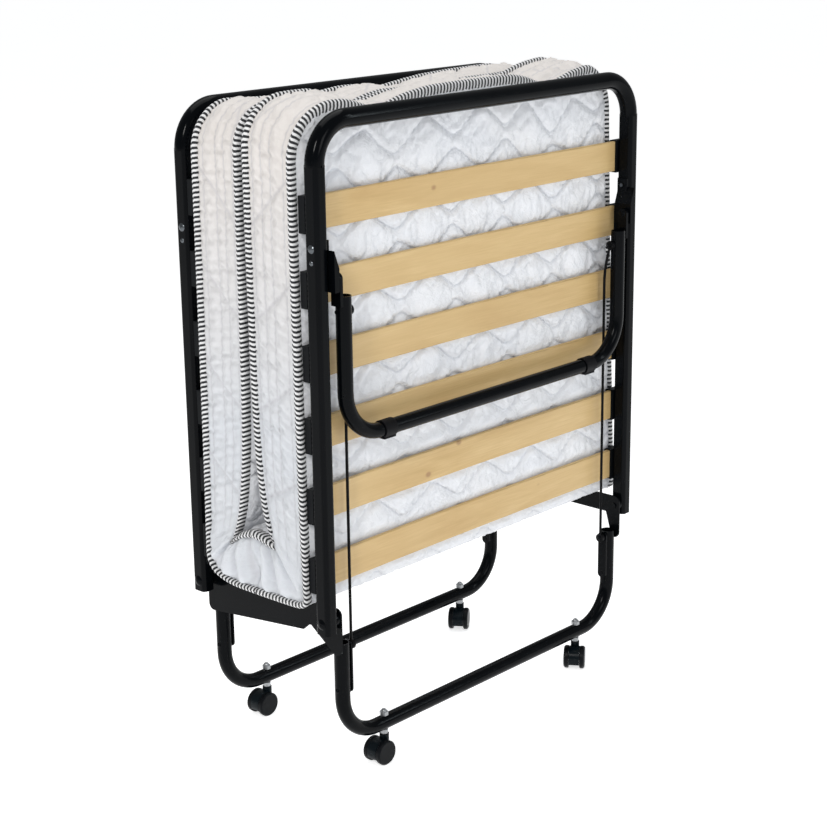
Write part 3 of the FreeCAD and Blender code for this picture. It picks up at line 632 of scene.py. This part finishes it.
def tape_slab(face):
    """The edge tape of one face, in slab coordinates, as rings along the edge. Each ring reaches
    further over the panel than past the edge, and the tape is thicker at the arch."""
    straight = np.linspace(0, SLAB_LENGTH - CORNER, 190)
    turn = np.linspace(0, math.pi / 2, 26)[1:]
    across = np.linspace(HALF_WIDTH - CORNER, CORNER - HALF_WIDTH, 150)[1:]
    right = [(HALF_WIDTH, s, 1, 0) for s in straight]
    right += [(HALF_WIDTH - CORNER + CORNER * math.cos(a), SLAB_LENGTH - CORNER + CORNER * math.sin(a),
               math.cos(a), math.sin(a)) for a in turn]
    top = [(x, SLAB_LENGTH, 0, 1) for x in across]
    path = right + top + [(-x, s, -nx, ns) for x, s, nx, ns in reversed(right[:-1])]
    path = np.array(path)
    sides = 10
    angles = np.linspace(0, 2 * math.pi, sides, endpoint=False)
    up = -1 if face == 0 else 1
    level = (0.0022 if face == 0 else SLAB_THICK - 0.0022)
    points = []
    for x, s, nx, ns in path:
        swollen = face * (1 - float(smooth(s, 0.07, 0.13)))
        swell = 1 + 0.35 * swollen
        for angle in angles:
            out, lift = swell * TAPE_RADIUS * math.cos(angle), swell * TAPE_RADIUS * math.sin(angle)
            if out < 0:
                out *= TAPE_LAP
            out += 0.0038 + 0.003 * swollen
            points.append((x + nx * out, s + ns * out, level + up * lift))
    return np.array(points), len(path), sides


def build_tape(name, side, face):
    points, count, sides = tape_slab(face)
    folded = fold(points, side)
    centres = folded.reshape(count, sides, 3).mean(axis=1)
    run = np.concatenate([[0], np.cumsum(np.linalg.norm(np.diff(centres, axis=0), axis=1))])
    quads, uvs = [], []
    flip = (side > 0) != (face == 0)
    for i in range(count - 1):
        for j in range(sides):
            k = (j + 1) % sides
            quad = [i * sides + j, (i + 1) * sides + j, (i + 1) * sides + k, i * sides + k]
            corners = [(run[i], j / sides), (run[i + 1], j / sides), (run[i + 1], (j + 1) / sides),
                       (run[i], (j + 1) / sides)]
            quads.append(quad[::-1] if flip else quad)
            uvs += corners[::-1] if flip else corners
    for end in (0, count - 1):
        ring = [end * sides + j for j in range(sides)]
        facing = ring if (end == 0) != flip else ring[::-1]
        quads.append(facing)
        uvs += [(run[end], 0.0)] * sides
    return mesh_object(name, folded, quads, [TAPE], uvs)


def bend_with_hinge(piece):
    """Bake the piece's transform into its mesh."""
    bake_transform(piece)


def build_mattress():
    points, quads, kinds = slab()
    puffed = puffed_slab(points, quads)
    puffed[:, 0] += crumple(points)
    x, s, t = points.T
    panel_uv = np.column_stack([x, s])
    side_uv = np.column_stack([s, t * SLAB_THICK])
    end_uv = np.column_stack([SLAB_LENGTH + HALF_WIDTH + x, t * SLAB_THICK])
    source = {"panel": panel_uv, "side": side_uv, "end": end_uv, "middle": end_uv}
    for name, side in (("near", -1), ("far", 1)):
        folded = behind_slats(fold(puffed, side))
        facing = quads if side < 0 else [quad[::-1] for quad in quads]
        uvs = [source[kind][index] for quad, kind in zip(facing, kinds) for index in quad]
        piece = mesh_object(f"quilted_mattress_{name}", folded, facing, [PANEL, BORDER], uvs,
                            [0 if kind == "panel" else 1 for kind in kinds])
        bend_with_hinge(piece)
        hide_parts(f"mattress_{name}", *(["mattress_centre"] if side < 0 else []))
        for label, face in (("slat_side", 0), ("sleep_side", 1)):
            tape = build_tape(f"edge_tape_{name}_{label}", side, face)
            bend_with_hinge(tape)


# Stage

def area_light(name, place, target, size, power, colour=(1, 1, 1)):
    light = bpy.data.lights.new(name, "AREA")
    light.shape = "RECTANGLE"
    light.size, light.size_y = size
    light.energy = power
    light.color = colour
    lamp = bpy.data.objects.new(name, light)
    lamp.location = place
    lamp.rotation_euler = (Vector(target) - Vector(place)).to_track_quat("-Z", "Y").to_euler()
    bpy.context.scene.collection.objects.link(lamp)


def build_stage():
    floor = mesh_object("floor", [(-40, -40, 0), (40, -40, 0), (40, 40, 0), (-40, 40, 0)], [(0, 1, 2, 3)],
                        [pale_floor()])
    middle = (0, 0, 0.6)
    area_light("key", (-3.3, -1.5, 3.0), middle, (0.5, 1.2), 58, (1.0, 0.985, 0.96))
    area_light("front", (-0.4, -3.8, 2.2), middle, (1.2, 1.6), 22, (0.96, 0.98, 1.0))
    area_light("strip", (2.6, -3.0, 2.2), middle, (0.12, 2.2), 12, (0.85, 0.95, 1.0))
    area_light("top", (0.2, 0.6, 3.8), middle, (2.6, 2.6), 44)
    world = bpy.data.worlds.new("studio")
    world.use_nodes = True
    background = world.node_tree.nodes["Background"]
    background.inputs["Color"].default_value = (0.96, 0.98, 1.0, 1)
    background.inputs["Strength"].default_value = 0.36
    bpy.context.scene.world = world
    bpy.context.scene.view_settings.view_transform = "Standard"


def build_camera():
    camera = bpy.data.cameras.new("camera")
    camera.sensor_width = 36.0
    camera.lens = 80.49
    camera.clip_end = 200
    eye = bpy.data.objects.new("camera", camera)
    forward = Vector((0.70372, 0.65448, -0.27646)).normalized()
    level = forward.cross(Vector((0, 0, 1))).normalized()
    roll = math.radians(-0.76)
    right = (level * math.cos(roll) + level.cross(forward) * math.sin(roll)).normalized()
    up = right.cross(forward)
    eye.matrix_world = Matrix((right, up, -forward)).transposed().to_4x4()
    eye.location = (-2.26524, -2.08631, 1.40102)
    bpy.context.scene.collection.objects.link(eye)
    bpy.context.scene.camera = eye


dress_cad()
build_mattress()
build_stage()
build_camera()
